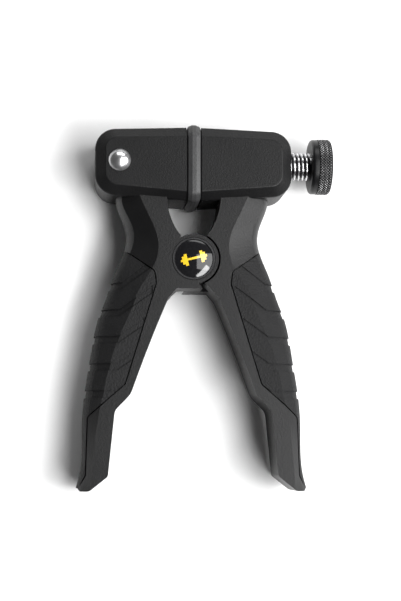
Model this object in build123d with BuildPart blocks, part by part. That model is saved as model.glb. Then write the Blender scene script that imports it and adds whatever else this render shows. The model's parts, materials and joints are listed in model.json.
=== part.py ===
"""Adjustable hand gripper: two handles on one pivot, and a head whose two halves are drawn together
by a spring on a draw screw with a knob. Squeezing the grips spreads the head against the spring.

+X runs towards the knob, +Y towards the head, +Z out of the front face. The origin is where the pivot
axis meets the plane that the gripper lies on. Lengths are in millimetres.
"""

import os
from math import asin, cos, sin

from build123d import *

os.makedirs("parts", exist_ok=True)

# Heights
MID = 16.0  # middle plane, about which front and back are alike
HEAD_HALF = 15.0  # half thickness of the head
HEAD_RIM_HALF = 11.2  # half height of the head's upright side wall, below the bevel
HANDLE_HALF = 12.0  # half thickness of the handles
FACET_HALF = 8.0  # where the facet of a handle meets its rounded side

# Draw screw, its swivel and the spring
SCREW_Y = 42.6
THREAD_R = 6.0  # M12
RUNNING = 0.05  # radial clearance of a running fit
RIVET_X = -31.6
RIVET_Y = 41.2
RIVET_R = 4.0
JOURNAL_R = 3.0  # plain end of the draw screw, in the swivel block
SPRING_R = 7.8  # mean radius of the coil
WIRE_R = 1.15
SPRING_START = 11.9
COIL_TURNS = 3.0
SEAT_START = 27.0
SEAT_LENGTH = 5.0

# Head shells, right half; the left half is its mirror image
HEAD_GAP = 3.2  # from the middle to the mating end of a shell
HEAD_END = 42.0
WALL = 2.4
RIM_CORNERS = [(HEAD_GAP, 56.6), (HEAD_END, 55.2), (HEAD_END, 27.4), (HEAD_GAP, 24.9)]
FACE_CORNERS = [(HEAD_GAP, 52.0), (HEAD_END - 4.4, 51.0), (HEAD_END - 4.4, 31.2), (HEAD_GAP, 28.3)]
RIM_RADIUS = 8.8
FACE_RADIUS = 5.2
BUMPER_PROUD = 1.0
BUMPER_GAP = 0.1
SCREW_HOLE = 15.2  # width of the shells' openings for the draw screw
WASHER_R = 6.6
WASHER_TOP = 2.2
RIGHT_SCREWS = [(15.0, 31.2), (24.5, 31.2)]
LEFT_SCREWS = [(-7.6, 31.2), (-7.6, 51.2)]  # the rivet pin holds the outer end of the left half
SCREW_BOSS_R = 2.4
SCREW_SHANK_R = 1.1
SCREW_HEAD_R = 2.0
SCREW_HEAD_LOW = 1.4
SCREW_HEAD_TOP = 2.8

# Handles, right side. Each station is the height above the pivot and the distances from the middle at
# which the flat face ends, the facet ends and the side bulges furthest.
HANDLE_STATIONS = [
    (34.0, 25.5, 31.5, 33.5),
    (27.0, 23.1, 30.6, 33.0),
    (18.5, 19.2, 28.0, 30.6),
    (9.0, 15.4, 25.2, 28.4),
    (2.0, 15.2, 27.0, 30.0),
    (-9.0, 20.4, 30.4, 34.4),
    (-22.0, 26.4, 34.6, 39.0),
    (-36.0, 32.4, 38.8, 42.4),
    (-52.0, 36.8, 42.0, 44.9),
    (-66.0, 39.6, 43.8, 46.4),
    (-82.0, 41.6, 44.8, 46.5),
    (-90.0, 42.2, 45.2, 47.3),
    (-99.0, 42.6, 46.4, 49.8),
]
SKIN_INNER = -14.0
FAR = 60.0
ARM_TOP = 29.0
ROOT_CORNER = (7.4, -12.9)
LEG_BEND = (26.3, -57.2)
SHANK_TOP = (32.9, -64.0)
SHANK_FOOT = (35.6, -91.4)
TOE = (43.4, -97.6)
GRIP_WALL = 2.2
RAIL_FOOT = -62.0  # below this the grip is solid rubber
SEAM = 0.5  # open joint line between grip and handle
SEAM_FLOOR_HALF = 6.0  # between these heights the rubber fills the seam
BAND_DEPTH = 0.6
BAND_PITCH = 11.4
BAND_COUNT = 5

WALL_FACE = 10.4  # face of the thrust wall inside the head

# Pivot
BOSS_R = 10.6
SOCKET_R = 11.4
# The web stops short of the other leg, which closes on it by 2 mm as the grips are squeezed
CROTCH_WEB = [(-3.6, -12.7), (-2.0, -10.2), (-2.0, -9.0), (8.0, -9.0), (8.0, -12.7)]
LAP_GAP = 0.3  # half of the gap between the two lapped bosses
BOLT_R = 4.0
BUSH_R = 5.5
BADGE_R = 9.2
NUT_FLAT = 13.0

HALF_TURN = Axis((0, 0, MID), (0, 1, 0))
SCREW_AXIS = Axis((0, SCREW_Y, MID), (1, 0, 0))
SCREW_PLANE = Plane.XY.offset(MID)  # a profile drawn here is revolved about SCREW_AXIS


def save(part, name):
    """Labels a finished piece and writes it under the same name."""
    part.label = name
    export_step(part, f"parts/{name}.step")


def save_turned(points, name):
    """Makes and saves a piece turned about the draw screw's axis, from (distance along X, radius) points."""
    with BuildPart() as piece:
        with BuildSketch(SCREW_PLANE):
            with BuildLine():
                Polyline(*[(x, SCREW_Y + r) for x, r in points], close=True)
            make_face()
        revolve(axis=SCREW_AXIS)
    save(piece.part, name)


def stack(layers, centre=(0, 0)):
    """Discs and rings on one upright axis: (bottom, top, outer radius, inner radius) each."""
    with BuildPart() as piece:
        for bottom, top, outer, inner in layers:
            with BuildSketch(Plane.XY.offset(bottom)):
                with Locations(centre):
                    Circle(outer)
                    if inner:
                        Circle(inner, mode=Mode.SUBTRACT)
            extrude(amount=top - bottom)
    return piece.part


def domed(foot, radius, rim, rise):
    """An upright disc with a spherical top, standing on its foot point."""
    ball = (radius**2 + rise**2) / (2 * rise)
    half = asin(radius / ball) / 2
    shoulder = (ball * sin(half), rim + rise - ball * (1 - cos(half)))
    with BuildPart() as piece:
        with BuildSketch(Plane(origin=foot, x_dir=(1, 0, 0), z_dir=(0, -1, 0))):
            with BuildLine():
                Polyline((0, rim + rise), (0, 0), (radius, 0), (radius, rim))
                ThreePointArc((radius, rim), shoulder, (0, rim + rise))
            make_face()
        revolve(axis=Axis(foot, (0, 0, 1)))
    return piece.part


# Handles


def handle_skin(inset):
    """Outer form of the right handle, lofted from toe to head: flat faces, facets and a rounded side."""
    with BuildPart() as skin:
        for y, x_face, x_facet, x_side in HANDLE_STATIONS:
            flat = HANDLE_HALF - inset
            face = (x_face - 0.5 * inset, flat)
            facet = (x_facet - 0.9 * inset, FACET_HALF - 0.5 * inset)
            with BuildSketch(Plane(origin=(0, y, MID), x_dir=(1, 0, 0), z_dir=(0, -1, 0))):
                with BuildLine():
                    Polyline(
                        facet,
                        face,
                        (SKIN_INNER, flat),
                        (SKIN_INNER, -flat),
                        (face[0], -flat),
                        (facet[0], -facet[1]),
                    )
                    ThreePointArc((facet[0], -facet[1]), (x_side - inset, 0), facet)
                make_face()
        loft()
    return skin.part


def handle_plan():
    """The right handle seen from the front, open on its outer side where the skin trims it."""
    window_foot = (7.4, 12.4)
    tip = (5.6, 9.95)
    with BuildSketch() as plan:
        with BuildLine():
            ThreePointArc((11.4, ARM_TOP), (10.3, 19.0), window_foot)
            Polyline(window_foot, tip, (4.6, -10.4), ROOT_CORNER, (10.6, -16.5))
            ThreePointArc((10.6, -16.5), (17.9, -34.4), LEG_BEND)
            Polyline(LEG_BEND, SHANK_TOP, SHANK_FOOT, TOE, (47.2, TOE[1]), (48.2, -96.3), (FAR, -96.3))
            Polyline((FAR, -96.3), (FAR, ARM_TOP), (11.4, ARM_TOP))
        make_face()
        roundings = [(LEG_BEND, 6.0), (SHANK_TOP, 5.0), (SHANK_FOOT, 2.0), (TOE, 3.0)]
        for corner, radius in roundings:
            fillet(plan.vertices().sort_by_distance(corner)[0], radius)
    return plan.sketch


def grip_zone():
    """The area seen from the front that the rubber grip covers, outside its seam line."""
    top = (34.0, 7.6)
    nose = (16.3, -5.2)
    inner = (15.5, -10.5)
    elbow = (28.4, -53.2)
    hip = (44.0, -66.8)
    with BuildSketch() as zone:
        with BuildLine():
            Polyline(top, nose, inner, elbow, hip, (44.6, -91.0), (47.9, -97.0), (FAR, -99.0))
            Polyline((FAR, -99.0), (FAR, top[1]), top)
        make_face()
        for corner, radius in ((nose, 2.6), (inner, 3.0), (elbow, 2.5), (hip, 2.0)):
            fillet(zone.vertices().sort_by_distance(corner)[0], radius)
    return zone.sketch


def right_casting():
    """The right handle's leg, arm and lapped boss, with the rail that carries the grip."""
    with BuildPart() as rail:
        add(handle_skin(GRIP_WALL))
        with BuildSketch():
            add(grip_zone())
        extrude(amount=2 * MID, mode=Mode.INTERSECT)
        with BuildSketch():
            with Locations((FAR / 2, RAIL_FOOT)):
                Rectangle(2 * FAR, 2 * FAR, align=(Align.CENTER, Align.MIN))
        extrude(amount=2 * MID, mode=Mode.INTERSECT)
    with BuildPart() as casting:
        add(handle_skin(0))
        with BuildSketch():
            add(handle_plan())
        extrude(amount=2 * MID, mode=Mode.INTERSECT)
        with BuildSketch():
            add(grip_zone())
        extrude(amount=2 * MID, mode=Mode.SUBTRACT)
        add(rail.part)
        with BuildSketch(Plane.XY.offset(MID - LAP_GAP)):
            Circle(SOCKET_R)
        extrude(amount=HANDLE_HALF + 2 * LAP_GAP, mode=Mode.SUBTRACT)
        with BuildSketch(Plane.XY.offset(MID - HANDLE_HALF)):
            Circle(BOSS_R)
            with BuildLine():
                Polyline(*CROTCH_WEB, close=True)
            make_face()
        extrude(amount=HANDLE_HALF - LAP_GAP)
    return casting.part


def grip_bands():
    """Chevron bands across the right grip: sloping over face and facet, level round the side."""
    with BuildSketch() as bands:
        for index in range(BAND_COUNT):
            top = -10.0 - BAND_PITCH * index
            bend = 30.8 + 0.4 * index
            seam_x = 14.0 + 3.4 * index
            rise = 0.72 * (bend - seam_x)
            with BuildLine():
                Polyline(
                    (seam_x, top + rise),
                    (bend, top),
                    (FAR, top),
                    (FAR, top - 3.2),
                    (bend, top - 3.2),
                    (seam_x, top + rise - 3.4),
                    close=True,
                )
            make_face()
    return bands.sketch


def right_grip_form():
    """Rubber grip of the right handle, moulded over the rail, with its bands pressed in."""
    with BuildPart() as bands:
        with BuildSketch():
            add(grip_bands())
        extrude(amount=2 * MID)
        add(handle_skin(BAND_DEPTH), mode=Mode.SUBTRACT)
    with BuildPart() as zone:
        with BuildSketch():
            add(grip_zone())
            offset(amount=-SEAM)
        extrude(amount=2 * MID)
        with BuildSketch(Plane.XY.offset(MID - SEAM_FLOOR_HALF)):
            add(grip_zone())
        extrude(amount=2 * SEAM_FLOOR_HALF)
    with BuildPart() as grip:
        add(handle_skin(0))
        with BuildSketch():
            add(handle_plan())
        extrude(amount=2 * MID, mode=Mode.INTERSECT)
        add(zone.part, mode=Mode.INTERSECT)
        add(bands.part, mode=Mode.SUBTRACT)
        add(CASTING, mode=Mode.SUBTRACT)
    return grip.part


CASTING = right_casting()
GRIP = right_grip_form()

with BuildPart() as right_handle:
    add(CASTING)
    # thrust wall inside the head, with the clearance hole for the tilting draw screw
    with BuildSketch(Plane.XY.offset(MID - 9.5)):
        with BuildLine():
            Polyline((5.9, 27.9), (32.0, 27.9), (32.0, 31.0), (WALL_FACE, 31.0))
            Polyline((WALL_FACE, 31.0), (WALL_FACE, 53.4), (5.9, 53.4), (5.9, 27.9))
        make_face()
    extrude(amount=19.0)
    with BuildSketch(Plane(origin=(0, SCREW_Y, MID), x_dir=(0, 1, 0), z_dir=(1, 0, 0))):
        Circle(7.4)
    extrude(amount=15.0, mode=Mode.SUBTRACT)
    # bore for the bush, recess for the pivot nut, and holes for the shell screws' bosses
    with Locations((0, 0, MID - LAP_GAP)):
        Hole(BUSH_R, depth=HANDLE_HALF)
    with BuildSketch(Plane.XY.offset(MID - HANDLE_HALF)):
        Circle(8.4)
    extrude(amount=5.7, mode=Mode.SUBTRACT)
    with Locations([(x, y, MID + 10) for x, y in RIGHT_SCREWS]):
        Hole(SCREW_BOSS_R, depth=20)
save(right_handle.part, "right_handle")

with BuildPart() as left_handle:
    add(CASTING.rotate(HALF_TURN, 180))
    # fork inside the head that carries the rivet pin
    with BuildSketch(Plane.XY.offset(MID - 9.5)):
        with BuildLine():
            Polyline((-30.0, 27.9), (-12.5, 27.9), (-12.5, 31.5), (-24.1, 41.2), (-39.1, 41.2), close=True)
        make_face()
        with Locations((RIVET_X, RIVET_Y)):
            Circle(7.0)
    extrude(amount=19.0)
    with BuildSketch(Plane.XY.offset(MID - 5.3)):
        with Locations((-25.0, 32.2)):
            Rectangle(34.0, 30.0, align=(Align.CENTER, Align.MIN))
    extrude(amount=10.6, mode=Mode.SUBTRACT)
    with Locations((RIVET_X, RIVET_Y, MID + 10)):
        Hole(RIVET_R, depth=20)
    # bore and counterbore for the pivot bolt, and the shallow recess for the badge
    with Locations((0, 0, MID + HANDLE_HALF)):
        CounterBoreHole(BOLT_R, 6.8, 6.6, depth=HANDLE_HALF)
    with BuildSketch(Plane.XY.offset(MID + HANDLE_HALF - 1.7)):
        Circle(BADGE_R)
    extrude(amount=1.7, mode=Mode.SUBTRACT)
save(left_handle.part, "left_handle")

save(GRIP, "right_grip")
save(GRIP.rotate(HALF_TURN, 180), "left_grip")

# Head shells


def rounded(corners, radius, inset):
    """One outline of the right head shell, rounded at its outer end."""
    with BuildSketch() as outline:
        with BuildLine():
            Polyline(*corners, close=True)
        make_face()
        fillet(outline.vertices().group_by(Axis.X)[-1], radius)
        if inset:
            offset(amount=-inset)
    return outline.sketch


def head_form(rim_inset, face_inset, rim_half, face_half):
    """A bevelled block with the outline of the right half of the head."""
    with BuildPart() as form:
        with BuildSketch(Plane.XY.offset(MID - rim_half)):
            add(rounded(RIM_CORNERS, RIM_RADIUS, rim_inset))
        extrude(amount=2 * rim_half)
        for side in (-1, 1):
            with BuildSketch(Plane.XY.offset(MID + side * rim_half)):
                add(rounded(RIM_CORNERS, RIM_RADIUS, rim_inset))
            with BuildSketch(Plane.XY.offset(MID + side * face_half)):
                add(rounded(FACE_CORNERS, FACE_RADIUS, face_inset))
            loft(ruled=True)
    return form.part


OUTER = head_form(0, 0, HEAD_RIM_HALF, HEAD_HALF)
CAVITY = head_form(WALL, 0.84, HEAD_RIM_HALF - 1.16, HEAD_HALF - WALL)


def soften(part):
    """Rounds the edges round the front and back of a shell, except on its flat mating end."""
    with BuildPart() as soft:
        add(part)
        edges = soft.edges().filter_by_position(Axis.X, HEAD_GAP + 0.1, FAR)
        for half, radius in ((HEAD_HALF, 0.9), (HEAD_RIM_HALF, 1.4)):
            for side in (-1, 1):
                level = MID + side * half
                ring = edges.filter_by_position(Axis.Z, level - 0.01, level + 0.01)
                fillet(ring, radius)
    return soft.part


def shell(front, screws, slot_y, slot_width, slot_reach):
    """Front or back shell of the right half of the head, with screw bosses and the draw screw's way in."""
    with BuildPart() as half:
        add(OUTER)
        add(CAVITY, mode=Mode.SUBTRACT)
        with BuildSketch(Plane(origin=(0, 0, MID), x_dir=(0, 1, 0), z_dir=(1, 0, 0))):
            with Locations((slot_y, 0)):
                SlotOverall(slot_width, SCREW_HOLE)
        extrude(amount=slot_reach, mode=Mode.SUBTRACT)
        for x, y in screws:
            with BuildSketch(Plane.XY.offset(MID - HEAD_HALF + 1)):
                with Locations((x, y)):
                    Circle(SCREW_BOSS_R)
            extrude(amount=2 * HEAD_HALF - 2)
        add(OUTER, mode=Mode.INTERSECT)
        split(bisect_by=Plane.XY.offset(MID), keep=Keep.TOP if front else Keep.BOTTOM)
        for x, y in screws:
            if front:
                with BuildSketch(Plane.XY.offset(MID)):
                    with Locations((x, y)):
                        Circle(SCREW_SHANK_R)
                extrude(amount=8.0, mode=Mode.SUBTRACT)
            else:
                with Locations(Location((x, y, MID - HEAD_HALF), (180, 0, 0))):
                    seat_depth = SCREW_HEAD_TOP - MID + HEAD_HALF
                    CounterBoreHole(SCREW_SHANK_R + 0.2, SCREW_HEAD_R + 0.2, seat_depth, depth=HEAD_HALF)
    return half.part


OUTER = soften(OUTER)

for name, front in (("right_shell_front", True), ("right_shell_back", False)):
    # the draw screw rises in the end wall as the head opens, so its way through is a slot along Y
    with BuildPart() as right_shell:
        add(shell(front, RIGHT_SCREWS, SCREW_Y + 1.4, 18.0, FAR))
        add(right_handle.part, mode=Mode.SUBTRACT)
    save(right_shell.part, name)

for name, front in (("left_shell_front", True), ("left_shell_back", False)):
    opposite_screws = [(-x, y) for x, y in LEFT_SCREWS]
    blank = shell(front, opposite_screws, SCREW_Y - 0.8, 16.4, 12.0).mirror(Plane.YZ)
    with BuildPart() as left_shell:
        add(blank)
        add(left_handle.part, mode=Mode.SUBTRACT)
        with BuildSketch():
            with Locations((RIVET_X, RIVET_Y)):
                Circle(RIVET_R)
        extrude(amount=2 * MID, mode=Mode.SUBTRACT)
        with BuildSketch():
            with Locations((RIVET_X, RIVET_Y)):
                Circle(WASHER_R)
        extrude(amount=WASHER_TOP, mode=Mode.SUBTRACT)
    save(left_shell.part, name)

# Rubber bumper between the two halves of the head
BUMPER_CORNERS = [
    (RIM_CORNERS[0][1], HEAD_RIM_HALF),
    (FACE_CORNERS[0][1], HEAD_HALF),
    (FACE_CORNERS[3][1], HEAD_HALF),
    (RIM_CORNERS[3][1], HEAD_RIM_HALF),
]
with BuildPart() as bumper:
    with BuildSketch(Plane(origin=(-HEAD_GAP, 0, MID), x_dir=(0, 1, 0), z_dir=(1, 0, 0))) as ring:
        with BuildLine():
            Polyline(*BUMPER_CORNERS, *[(y, -z) for y, z in reversed(BUMPER_CORNERS)], close=True)
        make_face()
        offset(amount=BUMPER_PROUD)
    extrude(amount=2 * HEAD_GAP - BUMPER_GAP)
    fillet(bumper.edges().group_by(Axis.X)[0] + bumper.edges().group_by(Axis.X)[-1], 0.9)
    with BuildSketch(Plane(origin=(-HEAD_GAP, 0, MID), x_dir=(0, 1, 0), z_dir=(1, 0, 0))):
        with Locations((SCREW_Y - 0.8, 0)):
            SlotOverall(18.4, 17.2)
    extrude(amount=2 * HEAD_GAP, mode=Mode.SUBTRACT)
save(bumper.part, "bumper")


# Screws that hold the shells, one node for each half of the head
def shell_screws(places):
    """Pan-head screws let into the back, one at each place."""
    with BuildPart() as screws:
        for place in places:
            head = (SCREW_HEAD_LOW, SCREW_HEAD_TOP, SCREW_HEAD_R, 0)
            shank = (SCREW_HEAD_TOP, 22.0, SCREW_SHANK_R, 0)
            add(stack([head, shank], place))
            with BuildSketch(Plane.XY.offset(SCREW_HEAD_LOW)):
                with Locations(place):
                    Rectangle(2.5, 0.6)
                    Rectangle(0.6, 2.5)
            extrude(amount=0.9, mode=Mode.SUBTRACT)
    return screws.part


save(shell_screws(RIGHT_SCREWS), "right_shell_screws")
save(shell_screws(LEFT_SCREWS), "left_shell_screws")

# Rivet pin through the left half of the head, with its washer
with BuildPart() as rivet_pin:
    add(stack([(1.0, MID + HEAD_HALF, RIVET_R, 0)], (RIVET_X, RIVET_Y)))
    add(domed((RIVET_X, RIVET_Y, MID + HEAD_HALF), 4.65, 0.4, 2.4))
    chamfer(rivet_pin.edges().sort_by(Axis.Z)[0], 0.6)
save(rivet_pin.part, "rivet_pin")
save(stack([(1.1, WASHER_TOP, WASHER_R - 0.1, RIVET_R)], (RIVET_X, RIVET_Y)), "rivet_washer")

# Swivel block on the rivet pin: it holds the plain end of the draw screw and lets it tilt
POCKET = (-25.6, -20.0)
SHOULDER_X = -15.4
BLOCK_END = SHOULDER_X - 0.1
BLOCK_HALF = 5.0
with BuildPart() as swivel_block:
    with BuildSketch(Plane.XY.offset(MID - BLOCK_HALF)):
        with Locations((RIVET_X, RIVET_Y)):
            Circle(6.8)
        with BuildLine():
            Polyline((RIVET_X, 35.6), (BLOCK_END, 35.6), (BLOCK_END, 49.6))
            Polyline((BLOCK_END, 49.6), (-29.0, 49.6), (RIVET_X, 47.5), (RIVET_X, 35.6))
        make_face()
    extrude(amount=2 * BLOCK_HALF)
    with BuildSketch(Plane.XY.offset(MID - BLOCK_HALF)):
        with Locations(((POCKET[0] + POCKET[1]) / 2, SCREW_Y)):
            Rectangle(POCKET[1] - POCKET[0], 9.4)
    extrude(amount=2 * BLOCK_HALF, mode=Mode.SUBTRACT)
    with Locations((RIVET_X, RIVET_Y, MID + BLOCK_HALF)):
        Hole(RIVET_R + RUNNING, depth=2 * BLOCK_HALF)
    with BuildSketch(Plane(origin=(POCKET[1] - 1, SCREW_Y, MID), x_dir=(0, 1, 0), z_dir=(1, 0, 0))):
        Circle(JOURNAL_R + RUNNING)
    extrude(amount=8.0, mode=Mode.SUBTRACT)
save(swivel_block.part, "swivel_block")

# Draw screw, its clip, and the knob with what fastens it
KNOB_START = 51.4
KNOB_END = 60.2
KNOB_R = 12.2
SPIGOT_R = 5.0
SPIGOT_END = 57.5
GROOVE = (-21.2, -20.1)  # for the retaining clip
save_turned(
    [
        (-24.2, 0),
        (-24.2, JOURNAL_R - 0.4),
        (-23.8, JOURNAL_R),
        (GROOVE[0], JOURNAL_R),
        (GROOVE[0], 2.4),
        (GROOVE[1], 2.4),
        (GROOVE[1], JOURNAL_R),
        (SHOULDER_X, JOURNAL_R),
        (SHOULDER_X, THREAD_R - 1),
        (SHOULDER_X + 1, THREAD_R),
        (KNOB_START, THREAD_R),
        (KNOB_START, SPIGOT_R),
        (SPIGOT_END, SPIGOT_R),
        (SPIGOT_END, 2.5),
        (48.0, 2.5),
        (46.6, 0),
    ],
    "draw_screw",
)
save_turned([(GROOVE[0], 2.4), (GROOVE[0], 4.3), (GROOVE[1], 4.3), (GROOVE[1], 2.4)], "retaining_clip")

with BuildPart() as knob:
    with BuildSketch(SCREW_PLANE):
        with BuildLine():
            Polyline(
                (KNOB_START, SCREW_Y + SPIGOT_R),
                (KNOB_START, SCREW_Y + 10.7),
                (KNOB_START + 1.3, SCREW_Y + 12.0),
                (KNOB_START + 3.0, SCREW_Y + 12.0),
                (KNOB_START + 3.2, SCREW_Y + KNOB_R),
                (KNOB_END - 0.9, SCREW_Y + KNOB_R),
                (KNOB_END, SCREW_Y + KNOB_R - 0.9),
                (KNOB_END, SCREW_Y + 8.0),
                (KNOB_END - 1.4, SCREW_Y + 8.0),
                (KNOB_END - 1.4, SCREW_Y + 4.7),
                (SPIGOT_END, SCREW_Y + 4.7),
                (SPIGOT_END, SCREW_Y + SPIGOT_R),
                close=True,
            )
        make_face()
    revolve(axis=SCREW_AXIS)
save(knob.part, "knob")
save_turned(
    [(48.4, 0), (48.4, 2.5), (SPIGOT_END, 2.5), (SPIGOT_END, 4.6), (59.1, 4.6), (59.1, 0)],
    "knob_screw",
)
save_turned([(59.2, 0), (59.2, 7.9), (59.7, 7.9), (60.0, 7.6), (60.0, 0)], "knob_cap")

# Spring between the thrust washer and the travelling seat nut
WASHER_START = WALL_FACE + RUNNING
save_turned(
    [(WASHER_START, 7.4), (WASHER_START, 9.6), (SPRING_START, 9.6), (SPRING_START, 7.4)],
    "thrust_washer",
)

COIL_START = SPRING_START + WIRE_R + RUNNING
COIL_LENGTH = SEAT_START - WIRE_R - RUNNING - COIL_START
with BuildPart() as spring:
    with BuildLine() as coil:
        coil_foot = (COIL_START, SCREW_Y, MID)
        Helix(COIL_LENGTH / COIL_TURNS, COIL_LENGTH, SPRING_R, center=coil_foot, direction=(1, 0, 0))
    with BuildSketch(Plane(origin=coil.line @ 0, z_dir=coil.line % 0)):
        Circle(WIRE_R)
    sweep(path=coil.line, is_frenet=True)
save(spring.part, "spring")

with BuildPart() as seat_nut:
    with BuildSketch(Plane(origin=(SEAT_START, SCREW_Y, MID), x_dir=(0, 1, 0), z_dir=(1, 0, 0))) as square:
        Rectangle(15.6, 22.4)
        chamfer(square.vertices(), 4.0)
        Circle(THREAD_R + RUNNING, mode=Mode.SUBTRACT)
    extrude(amount=SEAT_LENGTH)
save(seat_nut.part, "seat_nut")

# Main pivot: bolt, bush, washers, nut, back cap, and the badge over the bolt head
BOLT_HEAD_TOP = MID + HANDLE_HALF - 2.2
NUT_TOP = 8.6
with BuildPart() as pivot_bolt:
    add(stack([(4.6, 22.0, BOLT_R, 0), (21.4, BOLT_HEAD_TOP, 6.5, 0)]))
    with BuildSketch(Plane.XY.offset(BOLT_HEAD_TOP)):
        RegularPolygon(2.9, 6)
    extrude(amount=-2.6, mode=Mode.SUBTRACT)
save(pivot_bolt.part, "pivot_bolt")
save(stack([(9.8, MID - LAP_GAP, BUSH_R, BOLT_R + RUNNING)]), "pivot_bush")
save(stack([(MID - LAP_GAP + 0.03, MID + LAP_GAP, 10.2, BOLT_R)]), "lap_washer")
save(stack([(NUT_TOP, 9.6, 7.6, BOLT_R)]), "nut_washer")

with BuildPart() as pivot_nut:
    with BuildSketch(Plane.XY.offset(4.2)):
        RegularPolygon(NUT_FLAT / 2, 6, major_radius=False)
        Circle(BOLT_R, mode=Mode.SUBTRACT)
    extrude(amount=NUT_TOP - 4.2)
save(pivot_nut.part, "pivot_nut")

with BuildPart() as pivot_cap:
    add(stack([(0, 7.8, 8.0, 0)]))
    chamfer(pivot_cap.edges().sort_by(Axis.Z)[0], 1.0)
    with BuildSketch(Plane.XY.offset(4.2)):
        RegularPolygon(NUT_FLAT / 2, 6, major_radius=False)
    extrude(amount=4.0, mode=Mode.SUBTRACT)
save(pivot_cap.part, "pivot_cap")

FACE_TOP = MID + HANDLE_HALF
save(stack([(FACE_TOP - 1.7, FACE_TOP + 0.3, 8.95, 8.2)]), "badge_ring")
save(domed((0, 0, FACE_TOP - 1.7), 8.15, 1.6, 1.7), "badge")
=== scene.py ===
# %% [markdown]
# # An adjustable hand gripper
#
# Two black cast handles cross at a pivot under a round badge. Above it the head is split in
# two halves with a rubber bumper between them, and a knurled knob sticks out on a threaded
# screw. The hard parts come from the CAD frame and get their finishes here; the bumper, the
# screw's thread, the knob's knurl, the spring and the badge's mark are modelled in this file.

import json
from math import atan2, cos, pi, radians, sin

import bmesh
import bpy
from mathutils import Matrix, Vector


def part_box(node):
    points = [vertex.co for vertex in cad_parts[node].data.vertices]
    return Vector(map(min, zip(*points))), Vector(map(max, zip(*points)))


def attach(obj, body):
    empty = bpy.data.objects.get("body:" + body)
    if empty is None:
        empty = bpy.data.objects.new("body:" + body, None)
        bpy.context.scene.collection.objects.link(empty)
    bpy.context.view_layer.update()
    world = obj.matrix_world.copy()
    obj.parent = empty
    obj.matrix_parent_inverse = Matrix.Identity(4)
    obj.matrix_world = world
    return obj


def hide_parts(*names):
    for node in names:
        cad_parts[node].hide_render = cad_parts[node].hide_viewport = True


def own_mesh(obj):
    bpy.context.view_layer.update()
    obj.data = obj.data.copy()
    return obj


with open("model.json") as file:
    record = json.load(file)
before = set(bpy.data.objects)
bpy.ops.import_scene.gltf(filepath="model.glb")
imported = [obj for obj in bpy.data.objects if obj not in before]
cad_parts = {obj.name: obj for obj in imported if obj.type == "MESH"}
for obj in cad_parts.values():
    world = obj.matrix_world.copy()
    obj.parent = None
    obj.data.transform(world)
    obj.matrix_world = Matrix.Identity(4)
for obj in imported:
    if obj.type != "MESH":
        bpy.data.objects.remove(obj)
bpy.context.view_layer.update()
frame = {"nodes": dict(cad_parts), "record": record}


# %% [markdown]
# ## Measures taken from the frame
#
# The places of the pieces come from the boxes of the CAD nodes, so they fit without
# adjusting. The draw screw's axis is the middle of the knob, and the pivot's axis is the
# origin.

# %% Measures
MM = 0.001
knob_low, knob_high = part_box("knob")
screw_low, screw_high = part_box("draw_screw")
bumper_low, bumper_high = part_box("bumper")
badge_low, badge_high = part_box("badge")
coil_low, coil_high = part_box("spring")
middle = (knob_low.z + knob_high.z) / 2
screw_axis = Vector((0, (knob_low.y + knob_high.y) / 2, middle))
thread_radius = (screw_high.z - screw_low.z) / 2
knob_radius = (knob_high.z - knob_low.z) / 2
knurl_from = knob_low.x + 3.3 * MM
knurl_to = knob_high.x - 1.0 * MM
print("screw axis", screw_axis, "thread radius", thread_radius, "knob radius", knob_radius)

# %% [markdown]
# ## A small language for shaders
#
# A material is easier to read as arithmetic than as wiring, so `Signal` wraps an output socket
# and overloads the operators, and `Finish` starts a material and adds any other node by name.


# %% Shader helpers
class Signal:
    """One number flowing through a material; arithmetic on it adds Math nodes."""

    def __init__(self, finish, socket):
        self.finish = finish
        self.socket = socket

    def math(self, operation, *values):
        return self.finish.node("ShaderNodeMath", {"operation": operation}, *values)

    def __add__(self, other):
        return self.math("ADD", self, other)

    def __radd__(self, other):
        return self.math("ADD", other, self)

    def __sub__(self, other):
        return self.math("SUBTRACT", self, other)

    def __rsub__(self, other):
        return self.math("SUBTRACT", other, self)

    def __mul__(self, other):
        return self.math("MULTIPLY", self, other)

    def __truediv__(self, other):
        return self.math("DIVIDE", self, other)

    def __pow__(self, other):
        return self.math("POWER", self, other)

    def over(self, edge):
        """1 where this is greater than edge, else 0."""
        return self.math("GREATER_THAN", self, edge)

    def under(self, edge):
        """1 where this is less than edge, else 0."""
        return self.math("LESS_THAN", self, edge)

    def held(self):
        """Held between 0 and 1."""
        return self.math("MINIMUM", self.math("MAXIMUM", self, 0.0), 1.0)


def socket_name(word):
    """The shader's own name of a socket, from a Python keyword."""
    return word.replace("_", " ").title().replace("Ior", "IOR")


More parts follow.
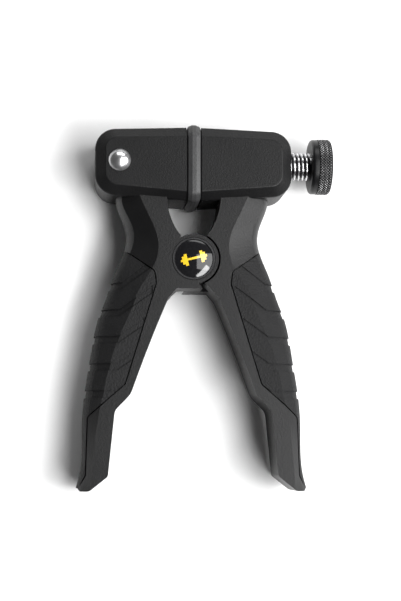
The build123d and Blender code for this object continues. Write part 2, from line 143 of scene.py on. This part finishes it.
class Finish:
    """A material with one Principled shader, built up node by node."""

    def __init__(self, name, colour, roughness, **constants):
        self.material = bpy.data.materials.new(name)
        self.material.use_nodes = True
        self.tree = self.material.node_tree
        self.shader = self.tree.nodes["Principled BSDF"]
        self.shader.inputs["Base Color"].default_value = (*colour, 1)
        self.shader.inputs["Roughness"].default_value = roughness
        for word, value in constants.items():
            self.shader.inputs[socket_name(word)].default_value = value
        self.place = self.node("ShaderNodeTexCoord", {}, output="Object")

    def node(self, kind, settings, *values, output=0, **named):
        """Adds one node: its settings first, then its inputs, which are numbers or signals."""
        added = self.tree.nodes.new(kind)
        for key, value in settings.items():
            setattr(added, key, value)
        inputs = [(added.inputs[index], value) for index, value in enumerate(values)]
        inputs += [(added.inputs[key.replace("_", " ")], value) for key, value in named.items()]
        for socket, value in inputs:
            if isinstance(value, Signal):
                self.tree.links.new(value.socket, socket)
            else:
                socket.default_value = value
        return Signal(self, added.outputs[output])

    def noise(self, size, detail):
        """Fractal noise whose features are about `size` metres across, from 0 to 1."""
        return self.node(
            "ShaderNodeTexNoise",
            {},
            Vector=self.place,
            Scale=1 / size,
            Detail=detail,
            Roughness=0.55,
        )

    def cells(self, size):
        """Distance to scattered points about `size` metres apart, in cell widths."""
        return self.node(
            "ShaderNodeTexVoronoi",
            {"feature": "F1"},
            Vector=self.place,
            Scale=1 / size,
            output="Distance",
        )

    def part(self, axis):
        """One coordinate in metres."""
        return self.node("ShaderNodeSeparateXYZ", {}, self.place, output="XYZ".index(axis))

    def mix(self, amount, first, second):
        """A colour between two colours."""
        added = self.tree.nodes.new("ShaderNodeMix")
        added.data_type = "RGBA"
        sockets = (added.inputs[0], added.inputs[6], added.inputs[7])
        for socket, value in zip(sockets, (amount, first, second)):
            if isinstance(value, Signal):
                self.tree.links.new(value.socket, socket)
            else:
                socket.default_value = (*value, 1) if isinstance(value, tuple) else value
        return Signal(self, added.outputs[2])

    def drive(self, **signals):
        """Connects signals to the shader's inputs by name."""
        for word, signal in signals.items():
            self.tree.links.new(signal.socket, self.shader.inputs[socket_name(word)])
        return self

    def bump(self, height, depth, strength=1.0):
        """Roughens the surface by a height from 0 to 1, `depth` metres deep."""
        relief = self.node("ShaderNodeBump", {}, Strength=strength, Distance=depth, Height=height)
        return self.drive(normal=relief)


# %% [markdown]
# ## Black finishes
#
# The whole object is black, so it is told apart by gloss and grain. The castings have a satin
# powder coat with a faint orange peel. The head shells are spark-eroded plastic with a finer,
# flatter grain. The grips are rubber with a sand-like stipple. Roughness wanders a little in
# each, as handling leaves it.


# %% Finish of the cast handles
def powder_coat():
    """Satin black paint with orange peel and a few dust specks."""
    paint = Finish("powder_coat", (0.006, 0.006, 0.0065), 0.42, specular_ior_level=0.3)
    peel = paint.noise(0.9 * MM, 2.0)
    grain = paint.noise(0.4 * MM, 4.0)
    cloud = paint.noise(14 * MM, 3.0)
    speck = paint.cells(1.9 * MM).under(0.055)
    dark, light = (0.004, 0.004, 0.0043), (0.009, 0.009, 0.0093)
    paint.drive(
        base_color=paint.mix(cloud * 0.6 + speck * 0.25, dark, light),
        roughness=0.32 + cloud * 0.12 + grain * 0.08,
    )
    paint.bump(peel * 0.6 + grain * 0.4, 0.16 * MM, 0.8)
    return paint.material


def shell_plastic():
    """Fine spark-eroded texture on black nylon."""
    plastic = Finish("shell_plastic", (0.006, 0.006, 0.0065), 0.45, specular_ior_level=0.24)
    pits = plastic.cells(0.7 * MM)
    grain = plastic.noise(0.6 * MM, 4.0)
    cloud = plastic.noise(18 * MM, 2.0)
    plastic.drive(
        base_color=plastic.mix(cloud, (0.003, 0.003, 0.0033), (0.007, 0.007, 0.0073)),
        roughness=0.36 + cloud * 0.1 + grain * 0.1,
    )
    plastic.bump(pits * 0.4 + grain * 0.6, 0.14 * MM, 0.8)
    return plastic.material


def grip_rubber():
    """Matt black rubber with a sandy stipple and paler, worn high spots."""
    rubber = Finish("grip_rubber", (0.006, 0.006, 0.0065), 0.6, specular_ior_level=0.22)
    stipple = rubber.cells(0.8 * MM)
    grain = rubber.noise(0.6 * MM, 4.0)
    wear = rubber.noise(6 * MM, 4.0)
    dark, light = (0.003, 0.003, 0.0033), (0.014, 0.014, 0.0145)
    rubber.drive(
        base_color=rubber.mix(wear * 0.7 + grain * 0.4, dark, light),
        roughness=0.5 + wear * 0.15 + stipple * 0.1,
    )
    rubber.bump(stipple * 0.5 + grain * 0.5, 0.3 * MM, 0.9)
    return rubber.material


def bumper_rubber():
    """Smoother, slightly bloomed rubber of the band between the halves."""
    rubber = Finish("bumper_rubber", (0.03, 0.03, 0.031), 0.45, specular_ior_level=0.5)
    bloom = rubber.noise(5 * MM, 4.0)
    grain = rubber.noise(0.35 * MM, 3.0)
    rubber.drive(
        base_color=rubber.mix(bloom, (0.022, 0.022, 0.023), (0.045, 0.045, 0.046)),
        roughness=0.38 + bloom * 0.14 + grain * 0.06,
    )
    rubber.bump(grain, 0.1 * MM, 0.7)
    return rubber.material


def knob_black():
    """Black oxide on steel: the knurl's crests are painted pale grey, partly as rubbed wear and
    partly as a painted highlight; its valleys stay soot black.
    """
    oxide = Finish("knob_black", (0.005, 0.005, 0.0055), 0.36, specular_ior_level=0.3)
    x, y, z = (oxide.part(axis) for axis in "XYZ")
    across = (y - screw_axis.y) ** 2.0 + (z - screw_axis.z) ** 2.0
    crest = (across**0.5).over(knob_radius - 0.2 * MM)
    knurled = x.over(knurl_from - 0.2 * MM) * x.under(knurl_to + 0.1 * MM)
    scuff = oxide.noise(1.2 * MM, 4.0)
    # The crests get a pale grey base colour: partly rubbed wear, partly a painted highlight.
    oxide.drive(
        base_color=oxide.mix(crest * knurled, (0.005, 0.005, 0.0055), (0.4, 0.4, 0.405)),
        metallic=crest * knurled * (0.5 + scuff * 0.5),
        roughness=0.28 + scuff * 0.14,
    )
    oxide.bump(oxide.noise(0.3 * MM, 3.0), 0.02 * MM, 0.4)
    return oxide.material


# %% [markdown]
# ## Bright finishes
#
# Chrome on the rivet, rolled steel on the screw that is darker towards its thread's valleys, zinc
# plate on the small fasteners, and a bronze bush. Each is uneven in polish, with a very shallow
# grain.


# %% Finishes of the metal parts
def metal(name, dark, light, roughness):
    """Bare or plated metal with a fine grain and uneven polish."""
    bare = Finish(name, light, roughness, metallic=1.0)
    grain = bare.noise(0.3 * MM, 4.0)
    stain = bare.noise(4 * MM, 4.0)
    bare.drive(
        base_color=bare.mix(stain * 0.5 + grain * 0.5, dark, light),
        roughness=roughness + stain * 0.08 + grain * 0.06,
    )
    bare.bump(grain, 0.01 * MM, 0.35)
    return bare.material


def moulded(name, dark, light, roughness):
    """A small moulded part with a soft, uneven surface."""
    plastic = Finish(name, light, roughness)
    cloud = plastic.noise(3 * MM, 4.0)
    grain = plastic.noise(0.3 * MM, 3.0)
    plastic.drive(base_color=plastic.mix(cloud, dark, light), roughness=roughness + cloud * 0.1)
    plastic.bump(grain, 0.03 * MM, 0.4)
    return plastic.material


def badge_gloss():
    """Poured clear dome over black: nearly a mirror, with faint dust under the coat."""
    dome = Finish("badge_gloss", (0.006, 0.006, 0.007), 0.08, specular_ior_level=0.4)
    dust = dome.noise(0.6 * MM, 4.0)
    dome.drive(
        base_color=dome.mix(dust**3.0, (0.006, 0.006, 0.007), (0.02, 0.02, 0.021)),
        roughness=0.05 + dust * 0.05,
    )
    return dome.material


def mark_yellow():
    """Screen-printed yellow with a slightly thin, grainy ink."""
    ink = Finish("mark_yellow", (0.85, 0.55, 0.02), 0.35, coat_weight=1.0)
    grain = ink.noise(0.35 * MM, 4.0)
    ink.drive(
        base_color=ink.mix(grain, (0.7, 0.42, 0.01), (0.95, 0.66, 0.03)),
        roughness=0.3 + grain * 0.1,
    )
    return ink.material


def thread_steel():
    """Bright rolled steel, darker towards the valleys of the thread."""
    bare = Finish("thread_steel", (0.72, 0.72, 0.73), 0.22, metallic=1.0)
    y, z = bare.part("Y") - screw_axis.y, bare.part("Z") - screw_axis.z
    from_axis = (y * y + z * z) ** 0.5
    # The colour runs from near black at the thread's roots to bright at its crests.
    crest = ((from_axis - (thread_radius - 0.8 * MM)) / (0.6 * MM)).held()
    smear = bare.noise(1.5 * MM, 4.0)
    bare.drive(
        base_color=bare.mix(crest * (0.7 + smear * 0.3), (0.03, 0.03, 0.031), (0.85, 0.85, 0.86)),
        roughness=0.34 - crest * 0.14 + smear * 0.06,
    )
    bare.bump(smear, 0.01 * MM, 0.3)
    return bare.material


finishes = {
    "casting": powder_coat(),
    "grip_rubber": grip_rubber(),
    "shell": shell_plastic(),
    "bumper_rubber": bumper_rubber(),
    "zinc_steel": metal("zinc_plate", (0.42, 0.43, 0.45), (0.66, 0.67, 0.68), 0.28),
    "steel": thread_steel(),
    "spring_steel": metal("spring_steel", (0.12, 0.12, 0.125), (0.3, 0.3, 0.31), 0.3),
    "chrome": metal("chrome", (0.7, 0.7, 0.71), (0.86, 0.86, 0.87), 0.22),
    "knob_black": knob_black(),
    "bronze": metal("bronze", (0.32, 0.19, 0.08), (0.55, 0.36, 0.17), 0.35),
    "nylon": moulded("nylon", (0.6, 0.58, 0.53), (0.78, 0.76, 0.7), 0.45),
    "cap_plastic": moulded("cap_plastic", (0.02, 0.02, 0.021), (0.035, 0.035, 0.036), 0.45),
    "badge_ring": moulded("badge_ring", (0.015, 0.015, 0.016), (0.03, 0.03, 0.031), 0.16),
    "badge_gloss": badge_gloss(),
}
slot_of = {entry["node"]: entry["material_slot"] for entry in frame["record"]["subparts"]}
for name, node in frame["nodes"].items():
    for slot in node.material_slots:
        slot.material = finishes[slot_of[name]]
print("finished", len(slot_of), "nodes with", len(finishes), "materials")

# %% [markdown]
# ## Making pieces
#
# Every piece ends in `finish_piece`. Turned parts also share `turn`: a profile of (distance
# along X, radius) points is drawn beside the draw screw's axis and spun round it.


# %% Piece helpers
def finish_piece(bm, name, slot, body, sharp, finish=None):
    """Turns a bmesh into a finished piece riding on a body; edges past `sharp` stay crisp."""
    bmesh.ops.remove_doubles(bm, verts=bm.verts, dist=0.002 * MM)
    bmesh.ops.recalc_face_normals(bm, faces=bm.faces)
    mesh = bpy.data.meshes.new(name)
    bm.to_mesh(mesh)
    bm.free()
    mesh.shade_smooth()
    mesh.set_sharp_from_angle(angle=sharp)
    piece = bpy.data.objects.new(name, mesh)
    bpy.context.scene.collection.objects.link(piece)
    mesh.materials.append(finish or finishes[slot])
    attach(piece, body)
    print(name, len(mesh.polygons), "faces")
    return piece


def draw_chain(bm, points):
    """An open chain of edges through (distance along X, radius) points beside the screw's axis."""
    verts = [bm.verts.new((x, screw_axis.y, screw_axis.z + radius)) for x, radius in points]
    return verts + [bm.edges.new(pair) for pair in zip(verts, verts[1:])]


def turn(bm, points, steps):
    """Spins a profile once round the draw screw's axis."""
    bmesh.ops.spin(
        bm,
        geom=draw_chain(bm, points),
        cent=screw_axis,
        axis=(1, 0, 0),
        angle=2 * pi,
        steps=steps,
        use_merge=True,
    )


def bevel(bm, edges, offset, segments):
    """Rounds edges off with a strip of faces `offset` wide."""
    bmesh.ops.bevel(
        bm,
        geom=edges,
        offset=offset,
        segments=segments,
        profile=0.5,
        affect="EDGES",
        material=-1,
    )


# %% [markdown]
# ## The draw screw
#
# A thread is a V-shaped profile spun round the axis while it creeps along it by one pitch a
# turn. The V here has the flat crest and root of a rolled M12 thread. The core and the plain
# ends, with the clip's groove and the socket in the knob's end, are turned on afterwards.

# %% Draw screw
PITCH = 1.75 * MM
TURN_STEPS = 40
thread_start = screw_low.x + 9.9 * MM
thread_end = knob_low.x + 0.6 * MM
thread_turns = int((thread_end - thread_start) / PITCH)
crest, root = thread_radius, thread_radius - 1.05 * MM
tooth = [(0, root), (0.1, root), (0.44, crest), (0.66, crest), (1.0, root)]  # x in pitches
bm = bmesh.new()
bmesh.ops.spin(
    bm,
    geom=draw_chain(bm, [(thread_start + part * PITCH, radius) for part, radius in tooth]),
    cent=screw_axis,
    axis=(1, 0, 0),
    angle=2 * pi * thread_turns,
    steps=TURN_STEPS * thread_turns,
    dvec=(PITCH / TURN_STEPS, 0, 0),
)
journal = 3.0 * MM
core = root - 0.2 * MM
clip_groove = 2.4 * MM
socket = 2.5 * MM
turn(
    bm,
    [
        (screw_low.x, 0),
        (screw_low.x, journal - 0.4 * MM),
        (screw_low.x + 0.4 * MM, journal),
        (screw_low.x + 3.0 * MM, journal),
        (screw_low.x + 3.0 * MM, clip_groove),
        (screw_low.x + 4.1 * MM, clip_groove),
        (screw_low.x + 4.1 * MM, journal),
        (screw_low.x + 8.8 * MM, journal),
        (screw_low.x + 8.8 * MM, core),
        (screw_high.x - 7.5 * MM, core),
        (screw_high.x, core),
        (screw_high.x, socket),
        (screw_high.x - 9.0 * MM, socket),
        (screw_high.x - 10.0 * MM, 0),
    ],
    steps=48,
)
threaded_rod = finish_piece(bm, "threaded_rod", "steel", "screw_and_knob", sharp=radians(25))
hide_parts("draw_screw")
print("thread of", thread_turns, "turns")

# %% [markdown]
# ## The knob
#
# The knob is turned with closely spaced rings where the knurl goes. Each vertex of those rings
# is then sunk by how near it lies to one of two crossing families of helical grooves, which
# leaves diamonds.

# %% Knob
KNURL_TEETH = 62
knurl_rows = 24
knurl_depth = 0.6 * MM
knurl_pitch = 2 * pi * knob_radius / KNURL_TEETH


def saw(phase):
    """0 in the middle of each cycle and 1 at its ends."""
    return abs(2 * (phase % 1.0) - 1)


bm = bmesh.new()
smooth_radius = knob_radius - 0.3 * MM
corner = 1.3 * MM
rounding = [
    (knob_low.x + corner * (1 - cos(angle)), smooth_radius - corner * (1 - sin(angle)))
    for angle in (radians(step) for step in (0, 15, 30, 45, 60, 75, 90))
]
row_step = (knurl_to - knurl_from) / knurl_rows
rows = [(knurl_from + row_step * row, knob_radius) for row in range(knurl_rows + 1)]
bore = 5.0 * MM
dish = 8.0 * MM  # radius of the cap's seat in the outer face
screw_hole = 4.7 * MM
turn(
    bm,
    [
        (knob_low.x, bore),
        *rounding,
        (knob_low.x + 2.8 * MM, smooth_radius),
        (knob_low.x + 3.0 * MM, knob_radius - 0.6 * MM),
        *rows,
        (knob_high.x - 0.35 * MM, knob_radius - 0.55 * MM),
        (knob_high.x, knob_radius - 1.0 * MM),
        (knob_high.x, dish + 0.2 * MM),
        (knob_high.x - 0.2 * MM, dish),
        (knob_high.x - 1.4 * MM, dish),
        (knob_high.x - 1.4 * MM, screw_hole),
        (knob_high.x - 2.7 * MM, screw_hole),
        (knob_high.x - 2.7 * MM, bore),
    ],
    steps=6 * KNURL_TEETH,
)
margin = 0.001 * MM
for vert in bm.verts:
    offset = vert.co - screw_axis
    if knurl_from - margin < vert.co.x < knurl_to + margin:
        around = atan2(offset.y, offset.z) / (2 * pi) * KNURL_TEETH
        along = (vert.co.x - knurl_from) / knurl_pitch
        sink = max(saw(around + along), saw(around - along)) ** 1.5 * knurl_depth
        radial = Vector((0, offset.y, offset.z))
        vert.co -= radial.normalized() * sink
knurled_knob = finish_piece(bm, "knurled_knob", "knob_black", "screw_and_knob", sharp=radians(50))
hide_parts("knob")

# %% [markdown]
# ## The bumper
#
# A thick rubber band between the halves of the head, following their bevelled outline. It
# starts as a block, is cut to the outline by four slanting planes, rounded along its corners,
# given one deep two-step bevel on each side so that it stands up as a faceted bead, and
# hollowed.

# %% Bumper
outline_depth = 3.8 * MM
outline_top = 4.6 * MM
outline_foot = 3.4 * MM
corner_round = 1.3 * MM
bead_bevel = 2.3 * MM
bead_wall = 3.4 * MM
opening_side = 15 * MM  # the two openings are the only larger faces across X
bm = bmesh.new()
size = bumper_high - bumper_low
centre = (bumper_high + bumper_low) / 2
block = bmesh.ops.create_cube(bm, size=1.0)
bmesh.ops.scale(bm, verts=block["verts"], vec=size)
bmesh.ops.translate(bm, verts=block["verts"], vec=centre)
for up in (1, -1):
    for front in (1, -1):
        run = outline_top if up > 0 else outline_foot
        corner = Vector((0, centre.y + up * (size.y / 2 - run), centre.z + front * size.z / 2))
        bmesh.ops.bisect_plane(
            bm,
            geom=[*bm.verts, *bm.edges, *bm.faces],
            plane_co=corner,
            plane_no=(0, up * outline_depth, front * run),
            clear_outer=True,
        )
        bmesh.ops.holes_fill(bm, edges=[edge for edge in bm.edges if edge.is_boundary], sides=0)
spans = [(edge, edge.verts[1].co - edge.verts[0].co) for edge in bm.edges]
bevel(bm, [edge for edge, span in spans if abs(span.normalized().x) > 0.9], corner_round, 4)
ends = [face for face in bm.faces if abs(face.normal.x) > 0.9]
bevel(bm, list({edge for face in ends for edge in face.edges}), bead_bevel, 2)
ends = [face for face in bm.faces if abs(face.normal.x) > 0.999]
bmesh.ops.inset_region(bm, faces=ends, thickness=bead_wall, use_even_offset=True)
across = [face for face in bm.faces if abs(face.normal.x) > 0.999]
inner = [face for face in across if face.calc_area() > opening_side**2]
loops = [edge for face in inner for edge in face.edges]
bmesh.ops.delete(bm, geom=inner, context="FACES_ONLY")
bmesh.ops.bridge_loops(bm, edges=[edge for edge in loops if edge.is_valid])
bead = finish_piece(bm, "bumper_bead", "bumper_rubber", "left_half", sharp=radians(20))
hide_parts("bumper")

# %% [markdown]
# ## The spring
#
# Hidden in the head: a short heavy coil. The wire's round section is spun as a helix. In the
# gripper the coil shortens between the thrust washer and the seat when the handles are squeezed,
# and the head parts by the screw's height over the pivot, leaving the coil a little room to tilt.
# Here the coil is one rigid piece riding on the right half.

# %% Spring
wire = 1.15 * MM
coil_radius = (coil_high.z - coil_low.z) / 2 - wire
coil_turns = 3
coil_steps = 28
bm = bmesh.new()
ring = bmesh.ops.create_circle(bm, segments=14, radius=wire, cap_ends=True)["verts"]
upright = Matrix.Rotation(pi / 2, 4, "X")
start = Vector((coil_low.x + wire, screw_axis.y, screw_axis.z + coil_radius))
bmesh.ops.transform(bm, matrix=Matrix.Translation(start) @ upright, verts=ring)
lead = (coil_high.x - coil_low.x - 2 * wire) / coil_turns
bmesh.ops.spin(
    bm,
    geom=bm.faces[:],
    cent=screw_axis,
    axis=(1, 0, 0),
    angle=2 * pi * coil_turns,
    steps=coil_steps * coil_turns,
    dvec=(lead / coil_steps, 0, 0),
)
coil = finish_piece(bm, "coil_spring", "spring_steel", "right_half", sharp=radians(40))
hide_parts("spring")
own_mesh(coil)

# %% [markdown]
# ## The mark on the badge
#
# A plain barbell in yellow: a bar with two plates and a stub at each end. It is a thin solid
# bent to the dome and lying just proud of it.

# %% Badge mark
plates = [(0, 5.6, 0.9)]  # the bar: middle, width and height in millimetres
for side in (1, -1):
    plates += [(side * 3.4, 1.2, 5.0), (side * 4.5, 1.0, 3.4), (side * 5.35, 0.7, 0.9)]
bm = bmesh.new()
for across, width, height in plates:
    plate = bmesh.ops.create_grid(bm, x_segments=6, y_segments=6, size=0.5)["verts"]
    bmesh.ops.scale(bm, verts=plate, vec=(width * MM, height * MM, 1))
    bmesh.ops.translate(bm, verts=plate, vec=(across * MM, 0, 0))
bmesh.ops.rotate(bm, verts=bm.verts, cent=(0, 0, 0), matrix=Matrix.Rotation(radians(14), 3, "Z"))
dome_radius = (badge_high.x - badge_low.x) / 2
crown = 1.7 * MM  # height of the dome above its rim
ball = (dome_radius**2 + crown**2) / (2 * crown)
ball_centre = badge_high.z - ball
proud = 0.02 * MM
for vert in bm.verts:
    vert.co.z = ball_centre + (ball**2 - vert.co.x**2 - vert.co.y**2) ** 0.5 + proud
bmesh.ops.solidify(bm, geom=bm.faces[:], thickness=0.08 * MM)
finish_piece(bm, "badge_mark", "badge_gloss", "left_half", radians(40), mark_yellow())

# %% [markdown]
# ## Stage, light and camera
#
# The object lies on a white sheet. A narrow softbox at the lower right throws the soft shadows
# to the upper left and shows as a bright arc in the badge. A wide one on the right lifts the
# faces on that side, and a weak one behind the head lights its top bevel. The camera looks
# almost straight down from the foot side.


# %% Stage
def paper():
    """White card with the faintest tooth."""
    card = Finish("paper", (0.9, 0.9, 0.9), 0.85, specular_ior_level=0.2)
    tooth = card.noise(1.5 * MM, 4.0)
    card.drive(base_color=card.mix(tooth, (0.89, 0.89, 0.89), (0.92, 0.92, 0.92)))
    return card.material


FLOOR_HALF = 3.0
bm = bmesh.new()
bmesh.ops.create_grid(bm, x_segments=2, y_segments=2, size=FLOOR_HALF)
floor_mesh = bpy.data.meshes.new("floor")
bm.to_mesh(floor_mesh)
bm.free()
floor = bpy.data.objects.new("floor", floor_mesh)
floor_mesh.materials.append(paper())
bpy.context.scene.collection.objects.link(floor)

# %% Light
lit_spot = Vector((4 * MM, -16 * MM, middle))


def soft_lamp(name, place, width, height, power):
    """A rectangular softbox facing the object."""
    light = bpy.data.lights.new(name, "AREA")
    light.shape = "RECTANGLE"
    light.size = width
    light.size_y = height
    light.energy = power
    lamp = bpy.data.objects.new(name, light)
    lamp.location = place
    lamp.rotation_euler = (lit_spot - Vector(place)).to_track_quat("-Z", "Y").to_euler()
    bpy.context.scene.collection.objects.link(lamp)
    print(name, "lamp at", place)


soft_lamp("key", (0.46, -0.42, 0.85), 0.65, 0.2, 8.0)
soft_lamp("overhead", (0.72, 0.0, 0.92), 0.8, 1.2, 19.0)
soft_lamp("back", (0.15, 0.95, 0.6), 1.0, 0.35, 5.0)
world = bpy.data.worlds.new("room")
world.use_nodes = True
world.node_tree.nodes["Background"].inputs["Color"].default_value = (1, 1, 1, 1)
world.node_tree.nodes["Background"].inputs["Strength"].default_value = 0.08
bpy.context.scene.world = world
bpy.context.scene.view_settings.view_transform = "Standard"

# %% Camera
view = bpy.data.cameras.new("camera")
view.sensor_fit = "HORIZONTAL"
view.sensor_width = 36.0
view.lens = 124.4
camera = bpy.data.objects.new("camera", view)
camera.location = (-45.7 * MM, -81.5 * MM, 606 * MM)
seen_spot = Vector((3.8 * MM, -16.5 * MM, middle))
sight = (seen_spot - camera.location).normalized()
right = sight.cross(Vector((0, 1, 0))).normalized()
up = right.cross(sight)
camera.rotation_euler = Matrix((right, up, -sight)).transposed().to_euler()
bpy.context.scene.collection.objects.link(camera)
bpy.context.scene.camera = camera
print("camera", camera.location, "lens", view.lens)
